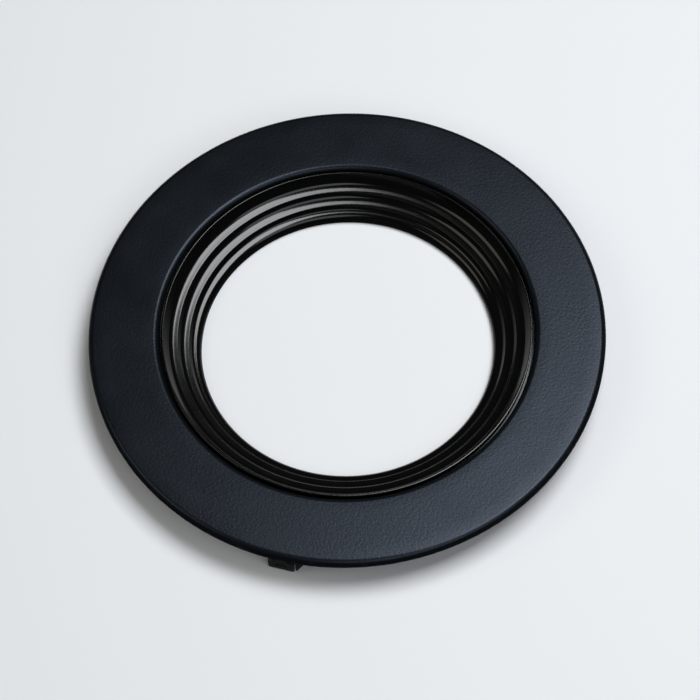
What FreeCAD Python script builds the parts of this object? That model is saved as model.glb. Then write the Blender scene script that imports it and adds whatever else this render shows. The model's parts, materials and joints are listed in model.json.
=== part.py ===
"""Flanged baffle hood ring: a satin ring with a stepped baffle, held on a round host by three
sprung T-headed clips. Millimetres, +Z up through the opening, origin at the centre of the base plane."""

import FreeCAD, Part
import math
import os

from FreeCAD import Vector

os.makedirs("parts", exist_ok=True)

# Driving dimensions
outer_r = 94.0            # outside of the rim
height = 14.8             # base plane to the flange's face
rim_drop = 3.3            # face to the bottom of the rim
sheet = 1.4               # wall of the flange ring
rim_wall = 1.2            # wall of the rim at its bottom
rim_round = 2.2           # rounding between face and rim
bend_r = 2.2              # roll from the face down into the opening
skirt_r = 68.2            # inside of the skirt below the roll
shelf_z = 8.8             # underside of the skirt, where the insert's back flange is held

throat_r = 53.6           # clear opening through the baffle
throat_round = 2.4        # rounding between the lowest land and the throat
foot_r = 55.6             # outside of the baffle's foot ring
step_count = 3            # lands of the baffle
crease_r = 64.95          # outer end of the highest land
crease_drop = 4.6         # and how far it lies below the flange's face
pitch_r = 4.0             # from land to land, inwards
pitch_z = 2.85            # from land to land, downwards
riser_run = 0.82          # each riser leans outwards by this
riser_rise = 1.75         # and climbs this far
land_deg = 8.0            # a land climbs gently from its arris
cove_deg = 44.0           # and curls up to this slope at the next riser's foot
low_cove = 0.6            # length of the tighter cove on the lowest land
arris_round = 0.3         # rounding where a land turns down into a riser
crest_drop = 0.7          # top of the insert below the flange's face
crest_r = 67.45           # outside of its narrow crest
groove_z = 11.0           # bottom of the dark gap between crest and flange
insert_r = 68.1           # outside of the insert, centred in the skirt
cone_depth = 1.1          # wall under each crease
lug_sheet = 1.3           # thickness of the insert's back flange and lugs
back_flange_r = 72.0      # outside of the back flange
lug_r = 4.0               # half width of a lug

baffle_screw_r = 76.0     # circle of the baffle screws
clip_screw_r = 83.5       # circle of the clip screws
boss_r = 3.2
clip_boss_z = 9.4         # underside of the clip bosses
pilot_depth = 3.3         # blind hole in every boss
pilot_spare = 0.5         # room above a screw's tip
shank_r = 1.4
shank_gap = 0.05          # screw shank to the wall of its blind hole, radial
clear_gap = 0.15          # screw shank to the wall of a clearance hole, radial
head_r = 2.8
head_h = 1.9
head_round = 0.8          # rounding of a screw's head
recess_long = 3.0         # cross recess in a screw's head
recess_wide = 0.7
recess_deep = 1.0
washer_r = 3.5
washer_h = 0.7

strip = 0.9               # sheet of the spring clips
clip_face_r = 92.4        # outer face of the hanging arm
bend_inner = 0.85         # inside radius of the clip's U bend
bend_top = 12.9           # top of the U bend
bend_gap_deg = 8.0        # gap between arm and foot at the top of the bend
stem_w = 4.0
head_w = 9.5              # T head of the arm
corner_round = 0.8        # rounded corners of the T head
head_top = 7.4
head_bottom = 1.2
slot_w = 4.2
slot_h = 1.5
slot_z = 3.3              # bottom of the slot in the T head
foot_w = 7.4              # clip foot under the screw

block_back_r = 79.4       # clip block, inner side
block_front_r = 88.3      # and outer side, behind the U bend
block_half_w = 5.6
seat_gap = 0.1            # block to the boss it is fitted round
ramp_start = 5.1          # lead-in ramp beside the T head
ramp_flat = 0.5           # width of the ramp's lowest edge
ramp_end = 9.2
ramp_lift = 2.6           # far end of the ramp above the top of the T head
ramp_low = 2.0            # lowest point of the ramp
shoulder_start = 2.4      # side of the bridge that faces the arm's stem
shoulder_gap = 1.6        # slit between the T head and the bridge above it
bridge_top_gap = 1.0      # room between the bridge and the flange
ramp_front_r = 92.2

gasket_in_r = 88.6
gasket_out_r = 92.5
gasket_low = 11.1
gasket_span = 84.0        # degrees covered by each strip
gasket_chamfer_r = 0.8    # chamfer that clears the rim's inner rounding
gasket_chamfer_z = 0.6
overlap = 0.2             # how far solids reach into each other before they are joined
past = 1.0                # how far a cutting tool reaches past the surface it cuts

clip_angles = (-90.0, 30.0, 150.0)
screw_angles = (90.0, 210.0, 330.0)

face_under = height - sheet
rim_low = height - rim_drop
bend_centre_r = clip_face_r - strip - bend_inner
bend_centre_z = bend_top - strip - bend_inner


def at_angle(shape, degrees):
    """A shape drawn on the +X axis, turned to its own station."""
    turned = shape.copy()
    turned.rotate(Vector(0, 0, 0), Vector(0, 0, 1), degrees)
    return turned


def save(shape, node):
    shape.exportStep("parts/" + node + ".step")


def point(r, z):
    return Vector(r, 0, z)


def line(start, end):
    return Part.LineSegment(start, end).toShape()


def lines(points):
    """Edges through a list of points, in order."""
    return [line(a, b) for a, b in zip(points, points[1:])]


def arc(centre, radius, start_deg, end_deg):
    """Arc in the XZ plane about a centre; 0 degrees points outwards and 90 degrees up."""
    def on_arc(degrees):
        turn = math.radians(degrees)
        return centre + Vector(radius * math.cos(turn), 0, radius * math.sin(turn))
    middle = (start_deg + end_deg) / 2
    return Part.Arc(on_arc(start_deg), on_arc(middle), on_arc(end_deg)).toShape()


def revolve(edges):
    """A closed section in the XZ plane, turned once round Z."""
    section = Part.Face(Part.Wire(edges))
    return section.revolve(Vector(0, 0, 0), Vector(0, 0, 1), 360)


def post(radius, low, high, station_r):
    """An upright cylinder on the +X axis."""
    return Part.makeCylinder(radius, high - low, point(station_r, low))


def block(r_low, r_high, y_low, y_high, z_low, z_high):
    corner = Vector(r_low, y_low, z_low)
    return Part.makeBox(r_high - r_low, y_high - y_low, z_high - z_low, corner)


def flange_ring():
    """Face with its rim, the roll into the opening, the skirt behind it and six blind screw bosses."""
    rim_inner = outer_r - rim_wall
    rim_centre = point(outer_r - rim_round, height - rim_round)
    inner_round = rim_round - rim_wall
    inner_centre = point(rim_inner - inner_round, face_under - inner_round)
    bend_centre = point(skirt_r + bend_r, height - bend_r)
    edges = [arc(rim_centre, rim_round, 90, 0)]
    edges += lines([point(outer_r, height - rim_round), point(outer_r, rim_low),
                    point(rim_inner, rim_low), point(rim_inner, face_under - inner_round)])
    edges.append(arc(inner_centre, inner_round, 0, 90))
    edges.append(line(point(rim_inner - inner_round, face_under), point(skirt_r + bend_r, face_under)))
    edges.append(arc(bend_centre, bend_r - sheet, 90, 180))
    edges += lines([point(skirt_r + sheet, height - bend_r), point(skirt_r + sheet, shelf_z),
                    point(skirt_r, shelf_z), point(skirt_r, height - bend_r)])
    edges.append(arc(bend_centre, bend_r, 180, 90))
    edges.append(line(point(skirt_r + bend_r, height), point(outer_r - rim_round, height)))
    ring = revolve(edges)
    stations = [(degrees, baffle_screw_r, shelf_z) for degrees in screw_angles]
    stations += [(degrees, clip_screw_r, clip_boss_z) for degrees in clip_angles]
    for degrees, station_r, low in stations:
        ring = ring.fuse(at_angle(post(boss_r, low, face_under + overlap, station_r), degrees))
    for degrees, station_r, low in stations:
        pilot = post(shank_r + shank_gap, low - past, low + pilot_depth, station_r)
        ring = ring.cut(at_angle(pilot, degrees))
    return ring.removeSplitter()


def crease(index):
    """Outer end of one land, at the foot of its riser; lands are counted inwards."""
    return point(crease_r - index * pitch_r, height - crease_drop - index * pitch_z)


def arris(index):
    """Top of the riser that stands on that crease; the first one climbs to the insert's crest."""
    rise = crease_drop - crest_drop if index == 0 else riser_rise
    return crease(index) + Vector(riser_run * rise / riser_rise, 0, rise)


def heading(degrees):
    """Unit step outwards and up at that slope."""
    return Vector(math.cos(math.radians(degrees)), 0, math.sin(math.radians(degrees)))


def land_knee(low, high):
    """Corner between a land's gentle slope from low and its steep slope into high."""
    gentle, steep = heading(land_deg), heading(cove_deg)
    run = high - low
    reach = (gentle.x * run.z - gentle.z * run.x) / (gentle.x * steep.z - gentle.z * steep.x)
    return high - steep * reach


def coved_land(low, knee, high):
    """A land: straight and gentle from low, then a cove round the knee up to high."""
    reach = (high - knee).Length
    start = knee - heading(land_deg) * reach
    towards_centre = heading(cove_deg) - heading(land_deg)
    towards_centre.normalize()
    quarter = math.radians(cove_deg - land_deg) / 4
    middle = knee + towards_centre * reach * math.tan(quarter)
    return [line(low, start), Part.Arc(start, middle, high).toShape()]


def baffle_insert():
    """Stepped cone: lands and risers in front, a plain cone behind, and three screw lugs."""
    slope = pitch_z / pitch_r
    lowest = crease(step_count - 1)
    low_knee = lowest - heading(cove_deg) * low_cove
    throat_edge = point(throat_r, low_knee.z - (low_knee.x - throat_r) * math.tan(math.radians(land_deg)))
    edges = coved_land(throat_edge, low_knee, lowest)
    for index in reversed(range(1, step_count)):
        edges.append(line(crease(index), arris(index)))
        edges += coved_land(arris(index), land_knee(arris(index), crease(index - 1)), crease(index - 1))
    crest = point(crest_r, height - crest_drop)
    wall_under = cone_depth / math.cos(math.atan(slope))
    flange_low = shelf_z - lug_sheet
    cone_z = lowest.z - wall_under
    cone_top = point(lowest.x + (flange_low - cone_z) / slope, flange_low)
    foot_top = point(foot_r, cone_z - (lowest.x - foot_r) * slope)
    edges += lines([crease(0), arris(0), crest, point(crest_r, groove_z), point(insert_r, groove_z),
                    point(insert_r, shelf_z), point(back_flange_r, shelf_z), point(back_flange_r, flange_low),
                    cone_top, foot_top, point(foot_r, 0), point(throat_r, 0), throat_edge])
    insert = revolve(edges)
    hole = post(shank_r + clear_gap, flange_low - past, shelf_z + past, baffle_screw_r)
    arm = block(back_flange_r - past, baffle_screw_r, -lug_r, lug_r, flange_low, shelf_z)
    lug = arm.fuse(post(lug_r, flange_low, shelf_z, baffle_screw_r)).cut(hole)
    for degrees in screw_angles:
        insert = insert.fuse(at_angle(lug, degrees))
    insert = insert.removeSplitter()
    insert = round_circles(insert, [arris(index) for index in range(step_count)] + [crest], arris_round)
    return round_circles(insert, [throat_edge], throat_round)


def round_circles(shape, corners, radius):
    """Rounds the circular edges that pass through the given points of the section."""
    chosen = []
    for edge in shape.Edges:
        spot = edge.Vertexes[0].Point
        spot_r = math.hypot(spot.x, spot.y)
        for corner in corners:
            if abs(spot_r - corner.x) < 0.01 and abs(spot.z - corner.z) < 0.01:
                chosen.append(edge)
    return shape.makeFillet(radius, chosen)


def pan_screw(station_r, seat_z, tip_z):
    """Pan-head screw driven upwards from below, with a cross recess in its head."""
    head = post(head_r, seat_z - head_h, seat_z, station_r)
    low_edges = [edge for edge in head.Edges if abs(edge.BoundBox.ZMax - (seat_z - head_h)) < 0.01]
    head = head.makeFillet(head_round, low_edges)
    screw = head.fuse(post(shank_r, seat_z, tip_z, station_r))
    recess_z = seat_z - head_h
    for size_x, size_y in ((recess_long, recess_wide), (recess_wide, recess_long)):
        arm = block(station_r - size_x / 2, station_r + size_x / 2, -size_y / 2, size_y / 2,
                    recess_z - past, recess_z + recess_deep)
        screw = screw.cut(arm)
    return screw.removeSplitter()


def clip_washer(seat_z):
    washer = post(washer_r, seat_z - washer_h, seat_z, clip_screw_r)
    return washer.cut(post(shank_r + clear_gap, seat_z - washer_h - past, seat_z + past, clip_screw_r))


def strip_sector(start_deg, end_deg, width):
    """Part of the clip's U bend, about its own centre line."""
    centre = point(bend_centre_r, bend_centre_z)
    outer = arc(centre, bend_inner + strip, start_deg, end_deg)
    inner = arc(centre, bend_inner, end_deg, start_deg)
    first = line(inner.valueAt(inner.LastParameter), outer.valueAt(outer.FirstParameter))
    last = line(outer.valueAt(outer.LastParameter), inner.valueAt(inner.FirstParameter))
    section = Part.Face(Part.Wire([outer, last, inner, first]))
    section.translate(Vector(0, -width / 2, 0))
    return section.extrude(Vector(0, width, 0))


def clip_arm():
    """Hanging T head on its stem, with the outer half of the U bend."""
    inner_face = clip_face_r - strip
    stem = block(inner_face, clip_face_r, -stem_w / 2, stem_w / 2, head_top - past, bend_centre_z)
    head = block(inner_face, clip_face_r, -head_w / 2, head_w / 2, head_bottom, head_top)
    across = [edge for edge in head.Edges if edge.BoundBox.YLength < 0.01 and edge.BoundBox.ZLength < 0.01]
    head = head.makeFillet(corner_round, across)
    slot = block(inner_face - past, clip_face_r + past, -slot_w / 2, slot_w / 2, slot_z, slot_z + slot_h)
    arm = head.fuse(stem).fuse(strip_sector(0, 90 - bend_gap_deg, stem_w))
    return arm.cut(slot).removeSplitter()


def clip_foot(seat_z):
    """Clamped foot, the riser behind the arm and the inner half of the U bend."""
    riser_out = bend_centre_r - bend_inner
    riser_in = riser_out - strip
    plate = block(clip_screw_r, block_front_r, -foot_w / 2, foot_w / 2, seat_z - strip, seat_z)
    plate = plate.fuse(post(foot_w / 2, seat_z - strip, seat_z, clip_screw_r))
    neck = block(block_front_r - past, riser_out, -stem_w / 2, stem_w / 2, seat_z - strip, seat_z)
    riser = block(riser_in, riser_out, -stem_w / 2, stem_w / 2, seat_z - strip, bend_centre_z)
    foot = plate.fuse(neck).fuse(riser).fuse(strip_sector(90, 180, stem_w))
    hole = post(shank_r + clear_gap, seat_z - strip - past, seat_z + past, clip_screw_r)
    return foot.cut(hole).removeSplitter()


def clip_block():
    """Block round the boss, a bridge beside the arm's stem and the steep lead-in ramp below it."""
    body = block(block_back_r, block_front_r, -block_half_w, block_half_w, clip_boss_z, face_under)
    bridge_low = head_top + shoulder_gap
    bridge_top = face_under - bridge_top_gap
    bridge = block(block_front_r, outer_r, shoulder_start, ramp_end, bridge_low, bridge_top)
    side = [(ramp_start, bridge_top), (ramp_start, ramp_low), (ramp_start + ramp_flat, ramp_low),
            (ramp_end, head_top + ramp_lift), (ramp_end, bridge_top), (ramp_start, bridge_top)]
    outline = Part.makePolygon([Vector(block_front_r, along, up) for along, up in side])
    wedge = Part.Face(outline).extrude(Vector(outer_r - block_front_r, 0, 0))
    seat = post(boss_r + seat_gap, clip_boss_z - past, face_under + past, clip_screw_r)
    whole = body.fuse(bridge).fuse(wedge).cut(seat)
    return whole.common(Part.makeCylinder(ramp_front_r, height)).removeSplitter()


def gasket_strip():
    """Foam strip inside the rim, as long as the space between two clips."""
    corners = [point(gasket_in_r, gasket_low), point(gasket_out_r, gasket_low),
               point(gasket_out_r, face_under - gasket_chamfer_z),
               point(gasket_out_r - gasket_chamfer_r, face_under),
               point(gasket_in_r, face_under), point(gasket_in_r, gasket_low)]
    section = Part.Face(Part.makePolygon(corners))
    foam = section.revolve(Vector(0, 0, 0), Vector(0, 0, 1), gasket_span)
    return at_angle(foam, -gasket_span / 2)


save(flange_ring(), "flange_ring")
save(baffle_insert(), "baffle_insert")

baffle_seat = shelf_z - lug_sheet
for number, degrees in enumerate(screw_angles, start=1):
    screw = pan_screw(baffle_screw_r, baffle_seat, shelf_z + pilot_depth - pilot_spare)
    save(at_angle(screw, degrees), f"baffle_screw_{number}")
    save(at_angle(gasket_strip(), degrees), f"gasket_strip_{number}")

washer_seat = clip_boss_z - strip
for number, degrees in enumerate(clip_angles, start=1):
    screw = pan_screw(clip_screw_r, washer_seat - washer_h, clip_boss_z + pilot_depth - pilot_spare)
    save(at_angle(screw, degrees), f"clip_screw_{number}")
    save(at_angle(clip_washer(washer_seat), degrees), f"clip_washer_{number}")
    save(at_angle(clip_foot(clip_boss_z), degrees), f"clip_foot_{number}")
    save(at_angle(clip_arm(), degrees), f"clip_arm_{number}")
    save(at_angle(clip_block(), degrees), f"clip_block_{number}")
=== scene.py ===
import bpy
import json
import math
from mathutils import Matrix, Vector

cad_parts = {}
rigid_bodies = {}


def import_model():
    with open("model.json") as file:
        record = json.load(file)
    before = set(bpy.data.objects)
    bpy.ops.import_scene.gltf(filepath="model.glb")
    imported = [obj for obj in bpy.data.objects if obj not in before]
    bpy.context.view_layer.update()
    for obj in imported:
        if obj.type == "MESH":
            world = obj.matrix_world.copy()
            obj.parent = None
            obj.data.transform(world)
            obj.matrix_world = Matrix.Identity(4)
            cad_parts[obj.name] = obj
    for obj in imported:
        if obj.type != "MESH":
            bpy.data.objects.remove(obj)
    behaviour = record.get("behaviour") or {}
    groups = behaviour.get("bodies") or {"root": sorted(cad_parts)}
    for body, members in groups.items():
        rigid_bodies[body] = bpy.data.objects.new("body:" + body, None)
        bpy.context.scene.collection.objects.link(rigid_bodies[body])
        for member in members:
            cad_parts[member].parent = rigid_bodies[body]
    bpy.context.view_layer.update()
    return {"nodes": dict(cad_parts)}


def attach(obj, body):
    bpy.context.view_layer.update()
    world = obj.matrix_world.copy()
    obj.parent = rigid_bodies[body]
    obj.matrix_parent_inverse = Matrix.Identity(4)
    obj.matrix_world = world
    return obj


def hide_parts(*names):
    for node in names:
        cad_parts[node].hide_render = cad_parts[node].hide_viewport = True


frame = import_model()

for obj in list(bpy.context.scene.objects):
    if obj.name in ("Cube", "Light", "Camera"):
        bpy.data.objects.remove(obj)

mm = 0.001  # every size below is in millimetres
weld = 0.001  # points of an outline closer than this are one
spinWeld = 0.005  # and points where a spun outline meets itself
through = 1.0  # how far a cutter stands out of what it cuts
facing = 0.9  # cosine within which a face looks along an axis
ringBody = "ring"
clipStations = {"1": -90, "2": 30, "3": 150}  # degrees round the ring
screwStations = {"1": 90, "2": 210, "3": 330}


def startPiece():
    # nothing may stay selected when a primitive is added
    if bpy.context.object and bpy.context.object.mode != "OBJECT":
        bpy.ops.object.mode_set(mode="OBJECT")
    bpy.ops.object.select_all(action="DESELECT")


def makeActive(obj):
    startPiece()
    obj.select_set(True)
    bpy.context.view_layer.objects.active = obj


def applyPlace(obj):
    makeActive(obj)
    bpy.ops.object.transform_apply(location=True, rotation=True, scale=True)


def turnTo(obj, degrees):
    obj.rotation_euler.z = math.radians(degrees)
    applyPlace(obj)


def copyAt(obj, name, degrees):
    # a copy with its own mesh, turned to its station
    makeActive(obj)
    bpy.ops.object.duplicate(linked=False)
    piece = bpy.context.object
    piece.name = name
    turnTo(piece, degrees)
    return piece


def selectFaces(obj, rule):
    makeActive(obj)
    bpy.ops.object.mode_set(mode="EDIT")
    bpy.ops.mesh.select_mode(type="FACE")
    bpy.ops.mesh.select_all(action="DESELECT")
    bpy.ops.object.mode_set(mode="OBJECT")
    for face in obj.data.polygons:
        face.select = rule(face)
    bpy.ops.object.mode_set(mode="EDIT")


def selectEdges(obj, rule):
    makeActive(obj)
    bpy.ops.object.mode_set(mode="EDIT")
    bpy.ops.mesh.select_mode(type="EDGE")
    bpy.ops.mesh.select_all(action="DESELECT")
    bpy.ops.object.mode_set(mode="OBJECT")
    places = [vertex.co for vertex in obj.data.vertices]
    for edge in obj.data.edges:
        edge.select = rule(places[edge.vertices[0]], places[edge.vertices[1]])
    bpy.ops.object.mode_set(mode="EDIT")


def applyModifier(obj, kind, **settings):
    makeActive(obj)
    modifier = obj.modifiers.new(kind.title(), kind)
    for key, value in settings.items():
        setattr(modifier, key, value)
    bpy.ops.object.modifier_apply(modifier=modifier.name)


def combine(obj, other, operation):
    # join, cut or trim with another piece, which is then thrown away
    applyModifier(obj, "BOOLEAN", object=other, operation=operation, solver="EXACT")
    bpy.data.objects.remove(other)


def roundEdges(obj, width, segments, degrees):
    applyModifier(obj, "BEVEL", width=width * mm, segments=segments, limit_method="ANGLE",
                  angle_limit=math.radians(degrees))


def smooth(obj, degrees):
    makeActive(obj)
    bpy.ops.object.shade_smooth_by_angle(angle=math.radians(degrees))


def drawOutline(name, points):
    # a closed outline of (x, z) points in the XZ plane, extruded from a single vertex
    startPiece()
    first = Vector((points[0][0], 0, points[0][1])) * mm
    bpy.ops.mesh.primitive_plane_add(size=mm, location=first)
    obj = bpy.context.object
    obj.name = name
    obj.data.name = name
    applyPlace(obj)
    bpy.ops.object.mode_set(mode="EDIT")
    bpy.ops.mesh.select_mode(type="VERT")
    bpy.ops.mesh.select_all(action="SELECT")
    bpy.ops.mesh.merge(type="CENTER")
    for start, end in zip(points, points[1:] + points[:1]):
        step = (Vector((end[0], 0, end[1])) - Vector((start[0], 0, start[1]))) * mm
        bpy.ops.mesh.extrude_region_move(TRANSFORM_OT_translate={"value": step})
    bpy.ops.mesh.select_all(action="SELECT")
    bpy.ops.mesh.remove_doubles(threshold=weld * mm)
    return obj


def spinOutline(name, points, steps, degrees=360):
    obj = drawOutline(name, points)
    bpy.ops.mesh.spin(steps=steps, angle=math.radians(degrees), center=(0, 0, 0), axis=(0, 0, 1))
    bpy.ops.mesh.select_all(action="SELECT")
    bpy.ops.mesh.remove_doubles(threshold=spinWeld * mm)
    if degrees < 360:
        bpy.ops.mesh.fill_holes(sides=0)
        bpy.ops.mesh.select_all(action="SELECT")
    bpy.ops.mesh.normals_make_consistent(inside=False)
    bpy.ops.object.mode_set(mode="OBJECT")
    return obj


def extrudeOutline(name, points, width):
    # the outline becomes a bar, width across the XZ plane
    obj = drawOutline(name, points)
    bpy.ops.transform.translate(value=(0, -width / 2 * mm, 0))
    bpy.ops.mesh.edge_face_add()
    bpy.ops.mesh.extrude_region_move(TRANSFORM_OT_translate={"value": (0, width * mm, 0)})
    bpy.ops.mesh.select_all(action="SELECT")
    bpy.ops.mesh.normals_make_consistent(inside=False)
    bpy.ops.object.mode_set(mode="OBJECT")
    return obj


def addBox(low, high):
    startPiece()
    middle = (Vector(low) + Vector(high)) / 2 * mm
    bpy.ops.mesh.primitive_cube_add(size=1, location=middle)
    obj = bpy.context.object
    obj.scale = (Vector(high) - Vector(low)) * mm
    applyPlace(obj)
    return obj


def addPost(radius, low, high, stationR, sides=48):
    startPiece()
    bpy.ops.mesh.primitive_cylinder_add(vertices=sides, radius=radius * mm, depth=(high - low) * mm,
                                        location=(stationR * mm, 0, (low + high) / 2 * mm))
    obj = bpy.context.object
    applyPlace(obj)
    return obj


def arcPoints(centreX, centreZ, radius, startDeg, endDeg, count):
    points = []
    for i in range(count + 1):
        turn = math.radians(startDeg + (endDeg - startDeg) * i / count)
        points.append((centreX + radius * math.cos(turn), centreZ + radius * math.sin(turn)))
    return points


def roundedCorner(before, corner, after, radius, count):
    # a corner of an outline, replaced by a small arc
    corner = Vector(corner)
    a = (Vector(before) - corner).normalized()
    b = (Vector(after) - corner).normalized()
    half = a.angle(b) / 2
    cut = radius / math.tan(half)
    centre = corner + (a + b).normalized() * radius / math.sin(half)
    first = corner + a * cut - centre
    last = corner + b * cut - centre
    return [tuple(centre + first.slerp(last, i / count).normalized() * radius) for i in range(count + 1)]


def newMaterial(name):
    mat = bpy.data.materials.new(name)
    mat.use_nodes = True
    mat.node_tree.nodes.clear()
    out = mat.node_tree.nodes.new("ShaderNodeOutputMaterial")
    shader = mat.node_tree.nodes.new("ShaderNodeBsdfPrincipled")
    mat.node_tree.links.new(shader.outputs["BSDF"], out.inputs["Surface"])
    return mat, shader


def addNode(mat, kind, **values):
    node = mat.node_tree.nodes.new(kind)
    for key, value in values.items():
        node.inputs[key].default_value = value
    return node


def link(mat, source, target):
    mat.node_tree.links.new(source, target)


def noiseNode(mat, coords, scale, detail, rough=0.5):
    node = addNode(mat, "ShaderNodeTexNoise", Scale=scale, Detail=detail, Roughness=rough)
    link(mat, coords, node.inputs["Vector"])
    return node.outputs["Fac"]


def rangeNode(mat, value, fromLow, fromHigh, toLow, toHigh):
    node = mat.node_tree.nodes.new("ShaderNodeMapRange")
    for index, number in enumerate((fromLow, fromHigh, toLow, toHigh), start=1):
        node.inputs[index].default_value = number
    link(mat, value, node.inputs[0])
    return node.outputs[0]


def mathNode(mat, operation, a, b):
    node = mat.node_tree.nodes.new("ShaderNodeMath")
    node.operation = operation
    for index, value in enumerate((a, b)):
        if isinstance(value, (int, float)):
            node.inputs[index].default_value = value
        else:
            link(mat, value, node.inputs[index])
    return node.outputs[0]


def blendColours(mat, factor, a, b):
    node = mat.node_tree.nodes.new("ShaderNodeMix")
    node.data_type = "RGBA"
    link(mat, factor, node.inputs[0])
    for socket, value in ((node.inputs[6], a), (node.inputs[7], b)):
        if isinstance(value, tuple):
            socket.default_value = (*value, 1)
        else:
            link(mat, value, socket)
    return node.outputs[2]


unevenness = {"grainDetail": 2.0, "swellDetail": 1.0, "mottleDetail": 4.0, "mottleBreakup": 0.6,
              "mottleLow": 0.3, "mottleHigh": 0.7, "scuffDetail": 6.0, "scuffBreakup": 0.7,
              "scuffLow": 0.56, "scuffHigh": 0.70, "wearRough": 0.12}


def makeFinish(name, look):
    u = unevenness
    mat, shader = newMaterial(name)
    coords = mat.node_tree.nodes.new("ShaderNodeTexCoord").outputs["Object"]
    shader.inputs["Metallic"].default_value = look.get("metal", 0.0)
    shader.inputs["Specular IOR Level"].default_value = look.get("gloss", 0.5)
    shader.inputs["Specular Tint"].default_value = (*look.get("glossTint", (1, 1, 1)), 1)
    grain = noiseNode(mat, coords, look["grainScale"], u["grainDetail"])
    if look.get("cells"):  # pores of foam
        pores = addNode(mat, "ShaderNodeTexVoronoi", Scale=look["cells"])
        link(mat, coords, pores.inputs["Vector"])
        grain = mathNode(mat, "ADD", grain, pores.outputs["Distance"])
    mottle = noiseNode(mat, coords, look["mottleScale"], u["mottleDetail"], u["mottleBreakup"])
    wear = mathNode(mat, "MULTIPLY", wearMask(mat, coords, look), look["wearAmount"])
    colour = blendColours(mat, mottle, look["dark"], look["light"])
    link(mat, blendColours(mat, wear, colour, look["worn"]), shader.inputs["Base Color"])
    smoothest, roughest = look["rough"] - look["roughSpread"], look["rough"] + look["roughSpread"]
    rough = rangeNode(mat, mottle, u["mottleLow"], u["mottleHigh"], smoothest, roughest)
    roughWear = mathNode(mat, "MULTIPLY", wear, u["wearRough"])
    link(mat, mathNode(mat, "ADD", rough, roughWear), shader.inputs["Roughness"])
    fine = addNode(mat, "ShaderNodeBump", Strength=look["grainStrength"], Distance=look["grainDepth"] * mm)
    link(mat, grain, fine.inputs["Height"])
    if look.get("swell"):  # slow unevenness of a sprayed or drawn surface
        slow = addNode(mat, "ShaderNodeBump", Strength=1.0, Distance=look["swell"] * mm)
        link(mat, noiseNode(mat, coords, look["swellScale"], u["swellDetail"]), slow.inputs["Height"])
        link(mat, slow.outputs["Normal"], fine.inputs["Normal"])
    link(mat, fine.outputs["Normal"], shader.inputs["Normal"])
    return mat


def wearMask(mat, coords, look):
    # scuffs gather between two radii, where hands and the host touch the part
    radius = mat.node_tree.nodes.new("ShaderNodeVectorMath")
    radius.operation = "LENGTH"
    flat = mat.node_tree.nodes.new("ShaderNodeVectorMath")
    flat.operation = "MULTIPLY"
    flat.inputs[1].default_value = (1, 1, 0)
    link(mat, coords, flat.inputs[0])
    link(mat, flat.outputs["Vector"], radius.inputs[0])
    low, high = look["wornFrom"] * mm, look["wornTo"] * mm
    near = rangeNode(mat, radius.outputs["Value"], low, high, 0.0, 1.0)
    u = unevenness
    scuffs = noiseNode(mat, coords, look["scuffScale"], u["scuffDetail"], u["scuffBreakup"])
    return mathNode(mat, "MULTIPLY", near, rangeNode(mat, scuffs, u["scuffLow"], u["scuffHigh"], 0.0, 1.0))


finishes = {
    "satinPowder": {"dark": (0.0022, 0.0030, 0.0040), "light": (0.0034, 0.0044, 0.0056),
                    "worn": (0.030, 0.031, 0.033), "gloss": 0.275, "glossTint": (0.68, 0.80, 1.0),
                    "grainScale": 900, "grainDepth": 0.012, "grainStrength": 0.5, "mottleScale": 55,
                    "rough": 0.31, "roughSpread": 0.03, "swell": 0.035, "swellScale": 1000,
                    "wornFrom": 92.6, "wornTo": 94.0, "scuffScale": 240, "wearAmount": 0.35},
    "baffleBlack": {"dark": (0.0008, 0.0008, 0.0008), "light": (0.0014, 0.0014, 0.0013),
                    "worn": (0.012, 0.012, 0.012), "gloss": 0.45, "glossTint": (1.0, 1.0, 1.0),
                    "grainScale": 1400, "grainDepth": 0.003, "grainStrength": 0.3, "mottleScale": 70,
                    "rough": 0.14, "roughSpread": 0.02,
                    "wornFrom": 71.0, "wornTo": 80.0, "scuffScale": 300, "wearAmount": 0.5},
    "blackZinc": {"dark": (0.050, 0.051, 0.055), "light": (0.120, 0.120, 0.125), "metal": 1.0,
                  "worn": (0.42, 0.41, 0.39), "grainScale": 2200, "grainDepth": 0.006, "grainStrength": 0.5,
                  "mottleScale": 500, "rough": 0.34, "roughSpread": 0.08,
                  "wornFrom": 60.0, "wornTo": 76.0, "scuffScale": 900, "wearAmount": 0.6},
    "springCoat": {"dark": (0.010, 0.010, 0.0105), "light": (0.018, 0.018, 0.019),
                   "worn": (0.16, 0.16, 0.165), "grainScale": 2600, "grainDepth": 0.006, "grainStrength": 0.5,
                   "mottleScale": 320, "rough": 0.38, "roughSpread": 0.06,
                   "wornFrom": 91.6, "wornTo": 92.4, "scuffScale": 700, "wearAmount": 0.3},
    "mouldedNylon": {"dark": (0.009, 0.009, 0.0095), "light": (0.014, 0.014, 0.0145),
                     "worn": (0.030, 0.030, 0.031), "grainScale": 3200, "grainDepth": 0.02,
                     "grainStrength": 0.7, "mottleScale": 260, "rough": 0.55, "roughSpread": 0.05,
                     "wornFrom": 90.0, "wornTo": 92.2, "scuffScale": 500, "wearAmount": 0.4},
    "foamStrip": {"dark": (0.020, 0.020, 0.021), "light": (0.040, 0.040, 0.042),
                  "worn": (0.060, 0.060, 0.062), "grainScale": 1500, "grainDepth": 0.12, "grainStrength": 0.9,
                  "cells": 1400, "mottleScale": 180, "rough": 0.92, "roughSpread": 0.04,
                  "wornFrom": 88.0, "wornTo": 92.5, "scuffScale": 400, "wearAmount": 0.5},
}
materials = {name: makeFinish(name, look) for name, look in finishes.items()}
print("stage: finishes made", len(materials))


def finishPiece(obj, material, slot, *nodes):
    obj.data.materials.clear()
    obj.data.materials.append(materials[material])
    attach(obj, ringBody)
    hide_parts(*nodes)


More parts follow.
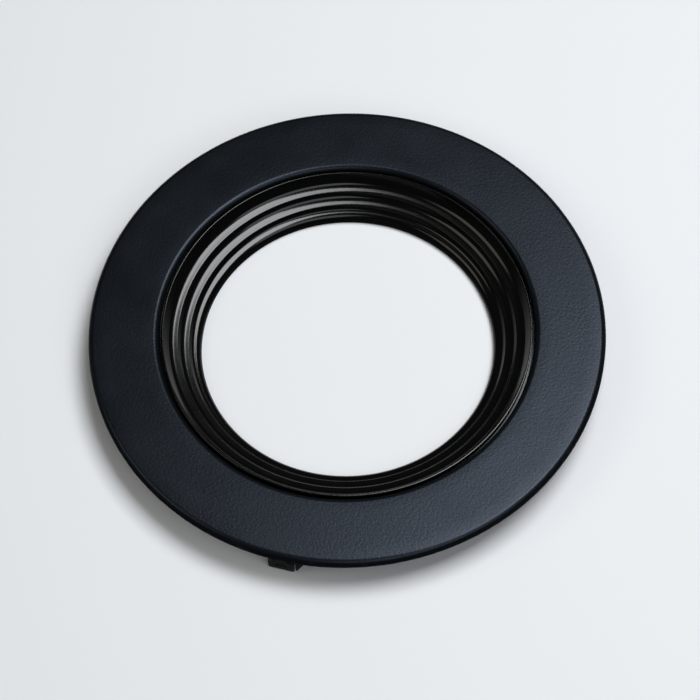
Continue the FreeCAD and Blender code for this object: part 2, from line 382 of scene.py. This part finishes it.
# the flange: face, rounded rim, roll into the opening, skirt behind it and six blind bosses
flange = {"outer": 94.0, "top": 14.8, "rimLow": 11.5, "rimRound": 2.2, "rimWall": 1.2, "sheet": 1.4,
          "rimEdge": 0.3, "skirt": 68.2, "shelf": 8.8, "bend": 2.2, "steps": 288,
          "bossR": 3.2, "pilotR": 1.45, "pilotDepth": 3.3, "clipBossLow": 9.4, "clipStationR": 83.5,
          "screwStationR": 76.0, "bossEdge": 0.25, "bite": 0.2, "rimSteps": 12, "innerSteps": 6,
          "bendSteps": 16, "faceCuts": 4, "smoothDeg": 32}


def flangeOutline():
    f = flange
    under = f["top"] - f["sheet"]
    inner = f["outer"] - f["rimWall"]
    innerRound = f["rimRound"] - f["rimWall"]
    bendR = f["skirt"] + f["bend"]
    bendZ = f["top"] - f["bend"]
    rimR, rimZ = f["outer"] - f["rimRound"], f["top"] - f["rimRound"]
    points = arcPoints(rimR, rimZ, f["rimRound"], 90, 0, f["rimSteps"])
    points += [(f["outer"], f["rimLow"] + f["rimEdge"]), (f["outer"] - f["rimEdge"], f["rimLow"]),
               (inner, f["rimLow"])]
    points += arcPoints(inner - innerRound, under - innerRound, innerRound, 0, 90, f["innerSteps"])
    points += arcPoints(bendR, bendZ, f["bend"] - f["sheet"], 90, 180, f["innerSteps"])
    points += [(f["skirt"] + f["sheet"], f["shelf"]), (f["skirt"], f["shelf"])]
    points += arcPoints(bendR, bendZ, f["bend"], 180, 90, f["bendSteps"])
    span = rimR - bendR
    points += [(bendR + span * (i + 1) / (f["faceCuts"] + 1), f["top"]) for i in range(f["faceCuts"])]
    return points


def addBoss(stationR, low, degrees):
    f = flange
    boss = addPost(f["bossR"], low, f["top"] - f["sheet"] + f["bite"], stationR)
    selectFaces(boss, lambda face: face.normal.z < -facing)
    bpy.ops.mesh.inset(thickness=f["bossEdge"] * mm)
    bpy.ops.mesh.inset(thickness=(f["bossR"] - f["pilotR"] - f["bossEdge"]) * mm)
    bpy.ops.mesh.extrude_region_move(TRANSFORM_OT_translate={"value": (0, 0, f["pilotDepth"] * mm)})
    turnTo(boss, degrees)
    return boss


def makeFlange():
    f = flange
    ring = spinOutline("flangeRing", flangeOutline(), f["steps"])
    bosses = [addBoss(f["clipStationR"], f["clipBossLow"], degrees) for degrees in clipStations.values()]
    bosses += [addBoss(f["screwStationR"], f["shelf"], degrees) for degrees in screwStations.values()]
    makeActive(bosses[0])
    for boss in bosses[1:]:
        boss.select_set(True)
    bpy.ops.object.join()
    combine(ring, bosses[0], "UNION")
    smooth(ring, f["smoothDeg"])
    return ring


ringPiece = makeFlange()
finishPiece(ringPiece, "satinPowder", "satin_black", "flange_ring")
print("stage: flange made", len(ringPiece.data.polygons))

# the baffle: three hollow lands on a cone, a foot ring, a back flange and three screw lugs
baffle = {"throat": 53.6, "throatRound": 2.4, "foot": 55.6, "lands": 3, "creaseR": 64.95, "creaseDrop": 4.6,
          "pitchR": 4.0, "pitchZ": 2.85, "riserRun": 0.82, "riserRise": 1.75, "landDeg": 8, "coveDeg": 44,
          "lowCove": 0.6, "arrisRound": 0.3, "crestDrop": 0.7, "crestR": 67.45, "groove": 11.0,
          "outer": 68.1, "cone": 1.1, "lug": 1.3, "flangeR": 72.0, "lugR": 4.0, "lugThin": 0.02,
          "holeR": 1.55, "footEdge": 0.2, "steps": 288, "throatSteps": 14, "lowCoveSteps": 6, "coveSteps": 10,
          "landCuts": 2, "arrisSteps": 6, "smoothDeg": 32}


def heading(degrees):
    return Vector((math.cos(math.radians(degrees)), math.sin(math.radians(degrees))))


def landKnee(low, high):
    # the corner between the gentle slope from low and the steep slope into high
    gentle, steep = heading(baffle["landDeg"]), heading(baffle["coveDeg"])
    run = high - low
    reach = (gentle.x * run.y - gentle.y * run.x) / (gentle.x * steep.y - gentle.y * steep.x)
    return high - steep * reach


def covedLand(low, knee, high, cuts, count):
    # gentle and straight from low, then a cove round the knee up to high
    gentle = heading(baffle["landDeg"])
    reach = (high - knee).length
    start = knee - gentle * reach
    half = math.radians(baffle["coveDeg"] - baffle["landDeg"]) / 2
    radius = reach / math.tan(half)
    centre = start + Vector((-gentle.y, gentle.x)) * radius
    points = [tuple(low.lerp(start, (i + 1) / (cuts + 1))) for i in range(cuts)]
    for i in range(count):
        turn = math.radians(baffle["landDeg"] - 90) + 2 * half * i / count
        points.append((centre.x + radius * math.cos(turn), centre.y + radius * math.sin(turn)))
    return points + [tuple(high)]


def baffleOutline():
    b = baffle
    top = flange["top"]
    creases = [(b["creaseR"] - i * b["pitchR"], top - b["creaseDrop"] - i * b["pitchZ"])
               for i in range(b["lands"])]
    rises = [b["creaseDrop"] - b["crestDrop"]] + [b["riserRise"]] * (b["lands"] - 1)
    arrises = [(r + b["riserRun"] * rise / b["riserRise"], z + rise) for (r, z), rise in zip(creases, rises)]
    lowR, lowZ = creases[-1]
    slope = b["pitchZ"] / b["pitchR"]
    coneZ = lowZ - b["cone"] / math.cos(math.atan(slope))
    flangeLow = flange["shelf"] - b["lug"]
    points = [(b["foot"], b["footEdge"]), (b["foot"] - b["footEdge"], 0), (b["throat"] + b["footEdge"], 0),
              (b["throat"], b["footEdge"])]
    lowest = Vector(creases[-1])
    lowKnee = lowest - heading(b["coveDeg"]) * b["lowCove"]
    landFall = (lowKnee.x - b["throat"]) * math.tan(math.radians(b["landDeg"]))
    throatTop = Vector((b["throat"], lowKnee.y - landFall))
    land = covedLand(throatTop, lowKnee, lowest, 0, b["lowCoveSteps"])
    points += roundedCorner(points[-1], throatTop, land[0], b["throatRound"], b["throatSteps"]) + land
    for i in reversed(range(b["lands"] - 1)):
        start, end = Vector(arrises[i + 1]), Vector(creases[i])
        land = covedLand(start, landKnee(start, end), end, b["landCuts"], b["coveSteps"])
        points += roundedCorner(points[-1], start, land[0], b["arrisRound"], b["arrisSteps"]) + land
    crest = (b["crestR"], top - b["crestDrop"])
    crestFoot = (b["crestR"], b["groove"])
    points += roundedCorner(creases[0], arrises[0], crest, b["arrisRound"], b["arrisSteps"])
    points += roundedCorner(arrises[0], crest, crestFoot, b["arrisRound"], b["arrisSteps"])
    points += [crestFoot, (b["outer"], b["groove"]), (b["outer"], flange["shelf"]),
               (b["flangeR"], flange["shelf"]), (b["flangeR"], flangeLow),
               (lowR + (flangeLow - coneZ) / slope, flangeLow),
               (b["foot"], coneZ - (lowR - b["foot"]) * slope)]
    return points


def addLug(degrees):
    b = baffle
    station = flange["screwStationR"]
    low, high = flange["shelf"] - b["lug"] + b["lugThin"], flange["shelf"] - b["lugThin"]
    lug = addPost(b["lugR"], low, high, station)
    makeActive(lug)
    bpy.ops.object.mode_set(mode="EDIT")
    bpy.ops.mesh.select_all(action="SELECT")
    bpy.ops.mesh.bisect(plane_co=(station * mm, 0, 0), plane_no=(1, 0, 0), clear_inner=True, use_fill=True)
    selectFaces(lug, lambda face: face.normal.x < -facing)
    inward = b["flangeR"] - b["lug"] - station
    bpy.ops.mesh.extrude_region_move(TRANSFORM_OT_translate={"value": (inward * mm, 0, 0)})
    bpy.ops.object.mode_set(mode="OBJECT")
    combine(lug, addPost(b["holeR"], low - through, high + through, station), "DIFFERENCE")
    turnTo(lug, degrees)
    return lug


def makeBaffle():
    insert = spinOutline("baffleInsert", baffleOutline(), baffle["steps"])
    lugs = [addLug(degrees) for degrees in screwStations.values()]
    makeActive(lugs[0])
    for lug in lugs[1:]:
        lug.select_set(True)
    bpy.ops.object.join()
    combine(insert, lugs[0], "UNION")
    smooth(insert, baffle["smoothDeg"])
    return insert


bafflePiece = makeBaffle()
finishPiece(bafflePiece, "baffleBlack", "baffle_black", "baffle_insert")
print("stage: baffle made", len(bafflePiece.data.polygons))

# the clips: a T head on its stem with the outer half of the bend, sprung on the ring
clip = {"face": 92.4, "strip": 0.9, "bendInner": 0.85, "bendTop": 12.9, "gapDeg": 8, "stem": 4.0,
        "headW": 9.5, "headTop": 7.4, "headLow": 1.2, "cornerRound": 0.8, "slotW": 4.2, "slotH": 1.5,
        "slotLow": 3.3, "edge": 0.13, "overlap": 1.0, "bendSteps": 10, "cornerSteps": 5, "edgeSteps": 2,
        "smoothDeg": 40}


def makeArm():
    c = clip
    inner = c["face"] - c["strip"]
    centreR = inner - c["bendInner"]
    centreZ = c["bendTop"] - c["strip"] - c["bendInner"]
    endDeg = 90 - c["gapDeg"]
    points = [(inner, c["headTop"] - c["overlap"]), (c["face"], c["headTop"] - c["overlap"])]
    points += arcPoints(centreR, centreZ, c["bendInner"] + c["strip"], 0, endDeg, c["bendSteps"])
    points += arcPoints(centreR, centreZ, c["bendInner"], endDeg, 0, c["bendSteps"])
    arm = extrudeOutline("clipArm", points, c["stem"])
    half = c["headW"] / 2
    head = addBox((inner, -half, c["headLow"]), (c["face"], half, c["headTop"]))
    selectEdges(head, lambda a, b: abs(a.x - b.x) > c["strip"] / 2 * mm)
    bpy.ops.mesh.bevel(offset=c["cornerRound"] * mm, segments=c["cornerSteps"], affect="EDGES")
    bpy.ops.object.mode_set(mode="OBJECT")
    combine(arm, head, "UNION")
    slot = addBox((inner - through, -c["slotW"] / 2, c["slotLow"]),
                  (c["face"] + through, c["slotW"] / 2, c["slotLow"] + c["slotH"]))
    combine(arm, slot, "DIFFERENCE")
    roundEdges(arm, c["edge"], c["edgeSteps"], c["smoothDeg"])
    smooth(arm, c["smoothDeg"])
    return arm


armMaster = makeArm()
for number, degrees in clipStations.items():
    arm = copyAt(armMaster, "clipArm" + number, degrees)
    arm.data.materials.append(materials["springCoat"])
    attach(arm, "clip_" + number)
    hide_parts("clip_arm_" + number)
bpy.data.objects.remove(armMaster)
print("stage: clip arms made", len(clipStations))

# the blocks: moulded round a boss, with a bridge beside the stem and a steep lead-in ramp
blockShape = {"back": 79.4, "front": 88.3, "halfW": 5.6, "low": 9.4, "rampStart": 5.1, "rampFlat": 0.5,
              "rampEnd": 9.2, "rampLow": 2.0, "rampLift": 2.6, "shoulder": 2.4, "shoulderGap": 1.6,
              "topGap": 1.0, "rampFront": 92.2, "seat": 3.3, "edge": 0.3, "bite": 0.05, "steps": 288,
              "edgeSteps": 2, "edgeDeg": 50, "smoothDeg": 40}


def makeBlock():
    k = blockShape
    under = flange["top"] - flange["sheet"]
    bridgeLow = clip["headTop"] + k["shoulderGap"]
    bridgeTop = under - k["topGap"]
    far = clip["headTop"] + k["rampLift"]
    points = [(k["shoulder"], bridgeTop), (k["shoulder"], bridgeLow), (k["rampStart"], bridgeLow),
              (k["rampStart"], k["rampLow"]), (k["rampStart"] + k["rampFlat"], k["rampLow"]),
              (k["rampEnd"], far), (k["rampEnd"], bridgeTop)]
    depth = k["rampFront"] - k["front"] + through
    ramp = extrudeOutline("clipBlock", points, depth)
    ramp.rotation_euler.z = math.radians(90)  # the outline's X now runs along Y
    ramp.location.x = (k["front"] + depth / 2) * mm
    applyPlace(ramp)
    combine(ramp, addPost(k["rampFront"], 0, flange["top"], 0, k["steps"]), "INTERSECT")
    body = addBox((k["back"], -k["halfW"], k["low"]), (k["front"] + k["bite"], k["halfW"], under))
    combine(body, ramp, "UNION")
    body.name = "clipBlock"
    seat = addPost(k["seat"], k["low"] - through, under + through, flange["clipStationR"])
    combine(body, seat, "DIFFERENCE")
    roundEdges(body, k["edge"], k["edgeSteps"], k["edgeDeg"])
    smooth(body, k["smoothDeg"])
    return body


blockMaster = makeBlock()
for number, degrees in clipStations.items():
    piece = copyAt(blockMaster, "clipBlock" + number, degrees)
    finishPiece(piece, "mouldedNylon", "block_nylon", "clip_block_" + number)
bpy.data.objects.remove(blockMaster)
print("stage: clip blocks made", len(clipStations))

# the foam strips under the rim, with rounded corners where they hang free
foam = {"inner": 88.6, "outer": 92.5, "low": 11.1, "chamferR": 0.8, "chamferZ": 0.6, "span": 84,
        "corner": 0.5, "steps": 96, "cornerSteps": 5, "smoothDeg": 40}


def makeStrip():
    g = foam
    under = flange["top"] - flange["sheet"]
    lowInner, lowOuter = (g["inner"], g["low"]), (g["outer"], g["low"])
    shoulder = (g["outer"], under - g["chamferZ"])
    points = [(g["outer"] - g["chamferR"], under), (g["inner"], under)]
    points += roundedCorner(points[-1], lowInner, lowOuter, g["corner"], g["cornerSteps"])
    points += roundedCorner(lowInner, lowOuter, shoulder, g["corner"], g["cornerSteps"])
    points.append(shoulder)
    strip = spinOutline("foamStrip", points, g["steps"], g["span"])
    turnTo(strip, -g["span"] / 2)
    smooth(strip, g["smoothDeg"])
    return strip


stripMaster = makeStrip()
for number, degrees in screwStations.items():
    piece = copyAt(stripMaster, "foamStrip" + number, degrees)
    finishPiece(piece, "foamStrip", "foam", "gasket_strip_" + number)
bpy.data.objects.remove(stripMaster)
print("stage: foam strips made", len(screwStations))

# the feet, screws and washers keep their own shapes and get their finishes
kept = {"baffle_screw": "blackZinc", "clip_screw": "blackZinc", "clip_washer": "blackZinc",
        "clip_foot": "springCoat"}
for stem, material in kept.items():
    for number in clipStations:
        node = frame["nodes"][stem + "_" + number]
        node.data.materials.clear()
        node.data.materials.append(materials[material])
print("stage: screws, washers and feet finished")


table = {"size": 8000, "drop": 0.05, "colour": (0.81, 0.825, 0.845), "rough": 0.7}


def makeFloor():
    startPiece()
    bpy.ops.mesh.primitive_plane_add(size=table["size"] * mm, location=(0, 0, -table["drop"] * mm))
    floor = bpy.context.object
    floor.name = "floor"
    mat, shader = newMaterial("paleFloor")
    shader.inputs["Base Color"].default_value = (*table["colour"], 1)
    shader.inputs["Roughness"].default_value = table["rough"]
    floor.data.materials.append(mat)
    floor.visible_glossy = False  # as a polariser does, it keeps the white table out of the black paint


# angles in degrees, distances in metres, lens and sensor in millimetres
view = {"azimuth": 17.3, "elevation": 60.75, "roll": -3.1, "distance": 1.034, "focal": 146.6, "sensor": 36,
        "clipStart": 0.01, "aimX": -0.045, "aimY": -0.449}


def cameraSide(right, far, up):
    # a place given as seen from the camera: to the right, away from it, and up
    turn = math.radians(view["azimuth"])
    return Vector((right * math.cos(turn) - far * math.sin(turn),
                   right * math.sin(turn) + far * math.cos(turn), up))


def makeCamera():
    startPiece()
    bpy.ops.object.camera_add()
    cam = bpy.context.object
    v = view
    az, el = math.radians(v["azimuth"]), math.radians(v["elevation"])
    aim = Vector((0, 0, flange["top"] * mm))
    place = aim + cameraSide(0, -v["distance"] * math.cos(el), v["distance"] * math.sin(el))
    turn = Matrix.Rotation(az, 4, "Z") @ Matrix.Rotation(math.pi / 2 - el, 4, "X")
    aimTurn = (Matrix.Rotation(math.radians(v["aimX"]), 4, "Y")
               @ Matrix.Rotation(math.radians(v["aimY"]), 4, "X"))
    rollTurn = Matrix.Rotation(math.radians(v["roll"]), 4, "Z")
    cam.matrix_world = Matrix.Translation(place) @ turn @ aimTurn @ rollTurn
    cam.data.sensor_width = v["sensor"]
    cam.data.lens = v["focal"]
    cam.data.clip_start = v["clipStart"]
    bpy.context.scene.camera = cam


studio = {"room": (0.04, 0.04, 0.04), "glow": (0.75, 0.76, 0.78), "glowLow": 0.15, "glowHigh": 1.0,
          "glowTop": 0.05, "glowBottom": -0.25}


def makeWorld():
    # a dark room with one pale glow, low down on the far side
    world = bpy.data.worlds.new("studio")
    world.use_nodes = True
    nodes, links = world.node_tree.nodes, world.node_tree.links
    coords = nodes.new("ShaderNodeTexCoord")
    split = nodes.new("ShaderNodeSeparateXYZ")
    links.new(coords.outputs["Generated"], split.inputs["Vector"])
    far = nodes.new("ShaderNodeVectorMath")
    far.operation = "DOT_PRODUCT"
    far.inputs[1].default_value = cameraSide(0, 1, 0)
    links.new(coords.outputs["Generated"], far.inputs[0])
    shares = []
    for value, low, high in ((far.outputs["Value"], studio["glowLow"], studio["glowHigh"]),
                             (split.outputs["Z"], studio["glowTop"], studio["glowBottom"])):
        ramp = nodes.new("ShaderNodeMapRange")
        ramp.interpolation_type = "SMOOTHSTEP"
        ramp.inputs["From Min"].default_value = low
        ramp.inputs["From Max"].default_value = high
        links.new(value, ramp.inputs["Value"])
        shares.append(ramp.outputs["Result"])
    both = nodes.new("ShaderNodeMath")
    both.operation = "MULTIPLY"
    for index, share in enumerate(shares):
        links.new(share, both.inputs[index])
    mix = nodes.new("ShaderNodeMix")
    mix.data_type = "RGBA"
    mix.inputs[6].default_value = (*studio["room"], 1)  # colour A
    mix.inputs[7].default_value = (*studio["glow"], 1)  # colour B
    links.new(both.outputs[0], mix.inputs[0])
    links.new(mix.outputs[2], nodes["Background"].inputs["Color"])
    bpy.context.scene.world = world
    bpy.context.scene.view_settings.view_transform = "Standard"


softBoxes = {
    "sideBox": {"place": (0.42, -0.88, 1.1), "size": (1.3, 0.9), "watts": 5.5, "colour": (0.96, 0.98, 1.0)},
    "overBox": {"place": (0.40, 0.24, 1.2), "size": (0.8, 0.6), "watts": 14.3, "colour": (0.96, 0.98, 1.0)},
    "leftBox": {"place": (-1.0, -0.10, 1.0), "size": (0.8, 0.8), "watts": 2.5, "colour": (1.0, 0.98, 0.86)},
}


def makeLights():
    for name, box in softBoxes.items():
        startPiece()
        place = cameraSide(*box["place"])
        bpy.ops.object.light_add(type="AREA", location=place)
        lamp = bpy.context.object
        lamp.name = name
        lamp.data.shape = "RECTANGLE"
        lamp.data.size, lamp.data.size_y = box["size"]
        lamp.data.energy = box["watts"]
        lamp.data.color = box["colour"]
        lamp.rotation_euler = (-place).to_track_quat("-Z", "Y").to_euler()


makeFloor()
makeCamera()
makeWorld()
makeLights()
print("stage: floor, camera and lights made", len(softBoxes))
